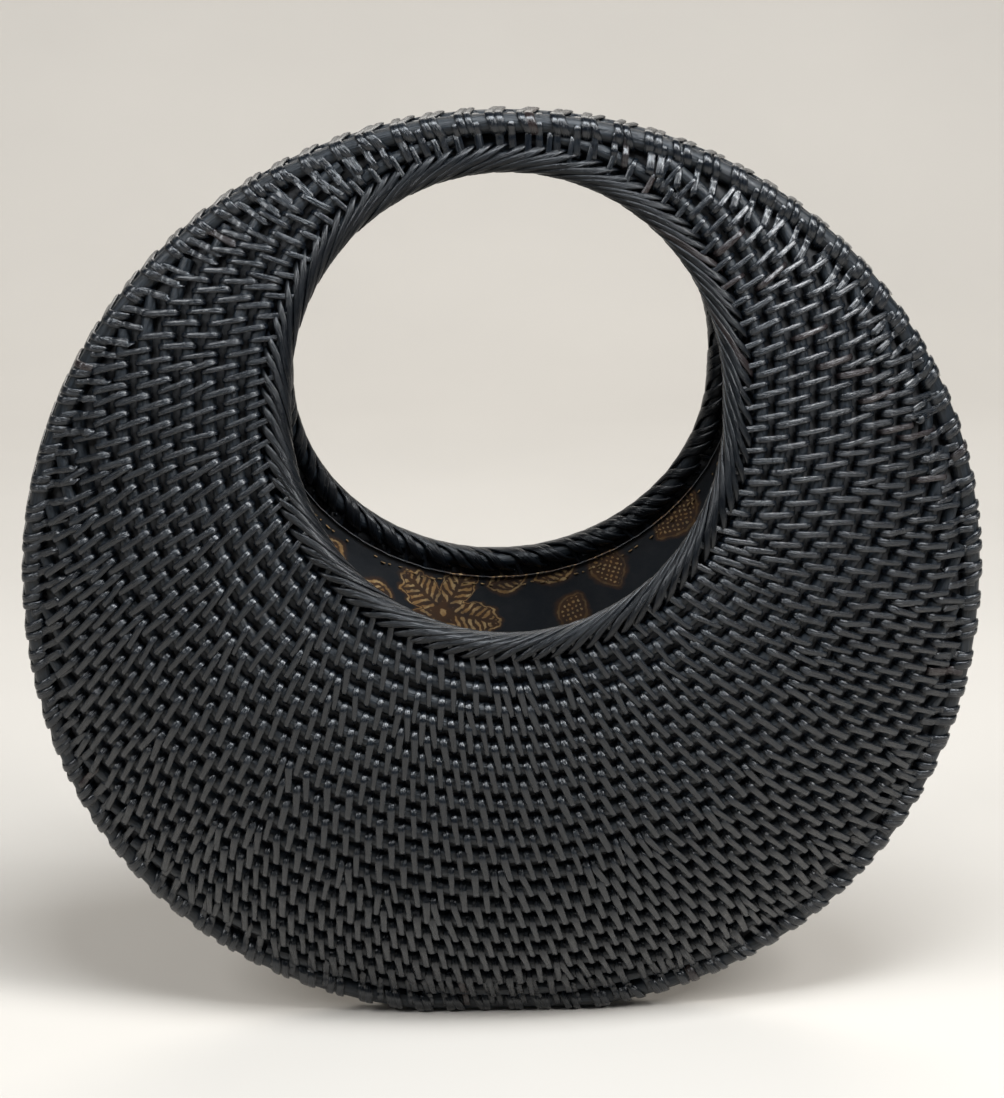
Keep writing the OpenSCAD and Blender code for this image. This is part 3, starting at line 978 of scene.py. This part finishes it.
def buildDrawingGroup():
    # One drawing of the batik, a flower or a leaf: its brown ground and its gold lines.
    group, source, target = newGroup(
        "batikDrawing",
        [(label, "Float", 0.0) for label in ("X", "Z", "MiddleX", "MiddleZ", "Turn", "Length", "Width",
                                             "Petals", "Dotted")],
        [("Brown", "Float"), ("Gold", "Float")])
    get = source.outputs

    def calc(operation, a, b=None, c=None):
        return mathNode(group, operation, a, b, c)

    dx, dz = calc("SUBTRACT", get["X"], get["MiddleX"]), calc("SUBTRACT", get["Z"], get["MiddleZ"])
    cos, sin = calc("COSINE", get["Turn"]), calc("SINE", get["Turn"])
    along = calc("ADD", calc("MULTIPLY", dx, cos), calc("MULTIPLY", dz, sin))
    across = calc("SUBTRACT", calc("MULTIPLY", dz, cos), calc("MULTIPLY", dx, sin))
    r = calc("SQRT", calc("ADD", calc("POWER", calc("ABSOLUTE", along), 2.0),
                          calc("POWER", calc("ABSOLUTE", across), 2.0)))
    # Petals: each one's share of the turn, 0 on its middle and 1 on its border.
    turn = calc("MULTIPLY", calc("ARCTAN2", across, along), calc("DIVIDE", get["Petals"], 2 * math.pi))
    share = calc("MULTIPLY", calc("ABSOLUTE", calc("SUBTRACT", calc("FRACT", turn), 0.5)), 2.0)
    scallop = calc("MULTIPLY", calc("SINE", calc("MULTIPLY", share, 19.0)), 0.035)
    petalR = calc("MULTIPLY", get["Length"],
                  calc("ADD", calc("MULTIPLY_ADD", calc("POWER", share, 1.5), -0.6, 1.0), scallop))
    petalGap = calc("SUBTRACT", r, petalR)
    petalSide = calc("MULTIPLY", calc("MULTIPLY", share, r), 0.62)
    # Leaves: pointed at both ends.
    place = calc("DIVIDE", along, get["Length"])
    leafW = calc("MULTIPLY", get["Width"], calc("SUBTRACT", 1.0, calc("MULTIPLY", place, place)))
    side = calc("ABSOLUTE", across)
    leafGap = calc("SUBTRACT", side, leafW)
    isFlower = calc("GREATER_THAN", get["Petals"], 0.5)

    def pick(flower, leaf):
        return calc("ADD", calc("MULTIPLY", flower, isFlower),
                    calc("MULTIPLY", leaf, calc("SUBTRACT", 1.0, isFlower)))

    gap, off, run = pick(petalGap, leafGap), pick(petalSide, side), pick(r, along)
    outline = rangeNode(group, calc("ABSOLUTE", gap), 0.25, 0.6, 1.0, 0.0)
    inside = rangeNode(group, gap, -1.5, -1.0, 1.0, 0.0)
    brown = rangeNode(group, gap, 0.2, 2.6, 1.0, 0.0)
    strokes = calc("FRACT", calc("DIVIDE", calc("SUBTRACT", run, calc("MULTIPLY", off, 0.9)), 2.5))
    strokes = rangeNode(group, calc("ABSOLUTE", calc("SUBTRACT", strokes, 0.5)), 0.16, 0.30, 1.0, 0.0)
    strokes = calc("MULTIPLY", strokes, rangeNode(group, off, 0.5, 0.9))
    strokes = calc("MULTIPLY", strokes, calc("MAXIMUM", calc("SUBTRACT", 1.0, isFlower),
                                             rangeNode(group, r, 3.6, 4.4)))
    dots = calc("MULTIPLY", calc("SINE", calc("MULTIPLY", along, 2.6)),
                calc("SINE", calc("MULTIPLY", across, 2.6)))
    dots = rangeNode(group, dots, 0.35, 0.6)
    marks = calc("ADD", calc("MULTIPLY", dots, get["Dotted"]),
                 calc("MULTIPLY", strokes, calc("SUBTRACT", 1.0, get["Dotted"])))
    heart = calc("MULTIPLY", isFlower, rangeNode(group, r, 1.1, 1.5, 1.0, 0.0))
    line = calc("MULTIPLY", outline, calc("SUBTRACT", 1.0, calc("MULTIPLY", get["Dotted"], 0.75)))
    gold = calc("MAXIMUM", calc("MULTIPLY", marks, inside), calc("MAXIMUM", line, heart))
    group.links.new(brown, target.inputs["Brown"])
    group.links.new(gold, target.inputs["Gold"])
    return group


def batikMaterial():
    look = finish["cloth"]
    material, tree, shader = newMaterial("batik_cotton")
    uv = tree.nodes.new("ShaderNodeUVMap")
    uv.uv_map = "alongAndAcross"
    x, z, _ = separate(tree, uv.outputs[0])
    edgeUv = tree.nodes.new("ShaderNodeUVMap")
    edgeUv.uv_map = "shares"
    fromTop = separate(tree, edgeUv.outputs[0])[0]
    # The hand-drawn lines waver a little, and the dye is uneven.
    flat = combine(tree, x, z, 0.0)
    waver = mathNode(tree, "SUBTRACT", noiseNode(tree, flat, 0.35, 2.0), 0.5)
    x = mathNode(tree, "MULTIPLY_ADD", waver, 2.4, x)
    z = mathNode(tree, "MULTIPLY_ADD", noiseNode(tree, flat, 0.5, 2.0), 1.6, z)
    group = buildDrawingGroup()
    brown, gold = 0.0, 0.0
    for petals, dotted, midX, midZ, length, width, turn in lining["drawings"]:
        drawing = groupNode(tree, group, X=x, Z=z, MiddleX=float(midX), MiddleZ=float(midZ),
                            Turn=math.radians(turn), Length=float(length), Width=float(width),
                            Petals=float(petals), Dotted=float(dotted))
        brown = mathNode(tree, "MAXIMUM", drawing.outputs["Brown"], brown)
        gold = mathNode(tree, "MAXIMUM", drawing.outputs["Gold"], gold)
    dye = noiseNode(tree, flat, 0.12, 4.0, 0.6)
    ground = mixColours(tree, rangeNode(tree, dye, 0.35, 0.7), look["ground"], look["worn"])
    hem = mathNode(tree, "MULTIPLY", rangeNode(tree, fromTop, 1.2, 2.2, 1.0, 0.0),
                   rangeNode(tree, noiseNode(tree, flat, 0.25, 3.0), 0.42, 0.66, 0.0, 0.7))
    uneven = rangeNode(tree, noiseNode(tree, flat, 0.22, 3.0), 0.3, 0.6, 0.45, 1.0)
    colour = mixColours(tree, mathNode(tree, "MULTIPLY", brown, uneven), ground, look["brown"])
    colour = mixColours(tree, hem, colour, look["hem"])
    fade = rangeNode(tree, noiseNode(tree, flat, 0.3, 2.0), 0.4, 0.65)
    line = mixColours(tree, fade, look["gold"], look["cream"])
    colour = mixColours(tree, mathNode(tree, "MULTIPLY", gold, uneven), colour, line)
    # The plain weave: crossing threads four to a millimetre.
    warp = mathNode(tree, "SINE", mathNode(tree, "MULTIPLY", x, 24.0))
    weft = mathNode(tree, "SINE", mathNode(tree, "MULTIPLY", z, 24.0))
    weave = mathNode(tree, "MULTIPLY_ADD", mathNode(tree, "MULTIPLY", warp, weft), 0.25, 0.5)
    setInput(tree, shader, "Base Color", colour)
    shader.inputs["Roughness"].default_value = 0.72
    shader.inputs["Sheen Weight"].default_value = 0.15
    shader.inputs["Specular IOR Level"].default_value = 0.3
    setInput(tree, shader, "Normal", bumpNode(tree, weave, 0.5, 0.0002))
    return material


def lowestZ(a, margin):
    # The lowest ring that is still inside the outline at an angle round the mouth.
    high, low = sillZ - rimR - 0.5, margin + edge
    for _ in range(12):
        mid = (high + low) / 2
        high, low = (mid, low) if ringEnd(mid, mouthLean, margin) >= a else (high, mid)
    return high


def liningSurface():
    # A grid of points on the surface through the rods' middles, and its normals into the bag.
    topRing = Ring(sillZ - rimR - 0.5)
    reach = topRing.length(math.radians(lining["reach"]))
    s = np.linspace(0, reach, lining["columns"] // 2 + 1)
    angles, _ = topRing.spot(s)
    share = np.linspace(0, 1, lining["rows"] + 1) ** 1.15
    grid = np.empty((len(s), len(share), 3))
    for i, a in enumerate(angles):
        low = lowestZ(a, edge + lining["margin"])
        for j, t in enumerate(share):
            ring = Ring(topRing.z + (low - topRing.z) * t)
            grid[i, j] = ring.at(topRing.match(ring, s[i:i + 1] + 1e-6))[0]
    mirrored = grid[:0:-1] * (-1, 1, 1)
    grid = np.concatenate([mirrored, grid])
    acrossWay, downWay = np.gradient(grid, axis=0), np.gradient(grid, axis=1)
    normal = unit(np.cross(acrossWay, downWay))
    normal = normal * np.where(normal[..., 1:2] < 0, -1, 1)
    return grid, normal


def buildLining():
    cloth = batikMaterial()
    grid, normal = liningSurface()
    columns, rows = grid.shape[:2]
    x = grid[..., 0]
    down, acrossRun = runAlong(grid, 1), runAlong(grid[:, 0])[:, None]
    toFoot = down[:, -1:] - down
    for side, sign in sides.items():
        rng = np.random.default_rng(lining["seed"] + sign)
        phase = rng.uniform(0, 6.28, 8)
        # Puckers hang from the seam, long slack folds lie lower, and the edges stay flat.
        pucker = sum(np.sin(acrossRun * k + p) for k, p in zip((0.55, 0.83, 1.27), phase)) / 3
        pucker = np.maximum(pucker, 0) * np.exp(-down / 9.0) * lining["pucker"]
        fold = sum(np.sin(x * k + down * m + p) for k, m, p in
                   zip((0.06, 0.10, -0.08), (0.05, -0.07, 0.11), phase[3:])) / 3
        fold = (0.5 + 0.5 * fold) * lining["fold"] * np.clip(down / 15, 0, 1) * np.clip(toFoot / 12, 0, 1)
        depth = rodR + lining["gap"] + (pucker + fold) * np.clip(toFoot / 4, 0, 1)
        hem = 0.25 * np.clip((2.6 - down) / 0.6, 0, 1)  # the cloth is turned in at its top
        outer = grid + normal * depth[..., None]
        inner = grid + normal * (depth + lining["thick"] + hem)[..., None]
        points = np.concatenate([outer.reshape(-1, 3), inner.reshape(-1, 3)])
        i, j = np.meshgrid(np.arange(columns - 1), np.arange(rows - 1), indexing="ij")
        a = (i * rows + j).ravel()
        sheet = columns * rows
        quads = np.stack([a, a + 1, a + rows + 1, a + rows], -1)
        border = np.concatenate([np.arange(columns) * rows, (columns - 1) * rows + np.arange(1, rows),
                                 np.arange(columns - 2, -1, -1) * rows + rows - 1,
                                 np.arange(rows - 2, 0, -1)])
        after = np.roll(border, -1)
        walls = np.stack([border, border + sheet, after + sheet, after], -1)
        faces = np.concatenate([quads[:, ::-1], quads + sheet, walls[:, ::-1]])
        uv = np.stack([grid[..., 0], grid[..., 2]], -1).reshape(-1, 2)
        piece = makePiece(side + "_lining_cloth", points, faces, cloth, np.tile(uv, (2, 1)),
                          sign, np.tile(np.stack([down.ravel()] * 2, -1), (2, 1)))
        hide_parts(side + "_lining")
        buildSeam(side, sign, inner, normal, down, rng)


# The seam: hand-sewn stitches of thread along the hem.
seam = {"step": 3.0, "length": 2.1, "depth": 3.0, "width": 0.55, "thick": 0.35}


def buildSeam(side, sign, inner, normal, down, rng):
    # The stitches are uneven in length and place, and some are left out.
    column = np.arange(len(inner))
    row = np.array([np.interp(seam["depth"], down[i], np.arange(down.shape[1])) for i in column])
    low = np.floor(row).astype(int)
    part = (row - low)[:, None]
    line = inner[column, low] * (1 - part) + inner[column, low + 1] * part
    facing = normal[column, low]
    run = runAlong(line)
    count = int((run[-1] - 20) / seam["step"])
    begin = 10 + np.arange(count) * seam["step"] + rng.uniform(-0.5, 0.5, count)
    begin = begin[rng.uniform(0, 1, count) > 0.3]
    count = len(begin)
    length = seam["length"] * rng.uniform(0.4, 1.1, count)
    share = np.linspace(0, 1, 5)
    t = begin[:, None] + length[:, None] * share

    def sewnAt(data):
        return np.stack([np.interp(t, run, data[:, k]) for k in range(3)], -1)

    up = unit(sewnAt(facing))
    drop = rng.uniform(-0.5, 0.5, (count, 1)) + rng.uniform(-0.4, 0.4, (count, 1)) * (share - 0.5)
    lift = np.interp(share, (0, 0.25, 0.75, 1), (-0.25, 0.15, 0.15, -0.25))
    paths = sewnAt(line) + up * lift[None, :, None] + np.array([0, 0, 1]) * drop[..., None]
    tangent = unit(np.gradient(paths, axis=1))
    across = np.cross(tangent, up)
    size = np.ones((count, 5))
    points, faces, uv = sweepStrands(paths, across, up, size * seam["width"], size * seam["thick"], corners=6)
    piece = makePiece(side + "_seam", points, faces, goldThread, uv, sign)
    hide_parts(side + "_lining_thread")


buildLining()
print("lining ready")

# The rods and the rims' cores are the frame's own pieces, with the cane's finish.
for name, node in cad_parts.items():
    if "_rod_" in name or name.endswith("rim_core"):
        node.data.materials.clear()
        node.data.materials.append(rodCane)
        for polygon in node.data.polygons:
            polygon.use_smooth = True
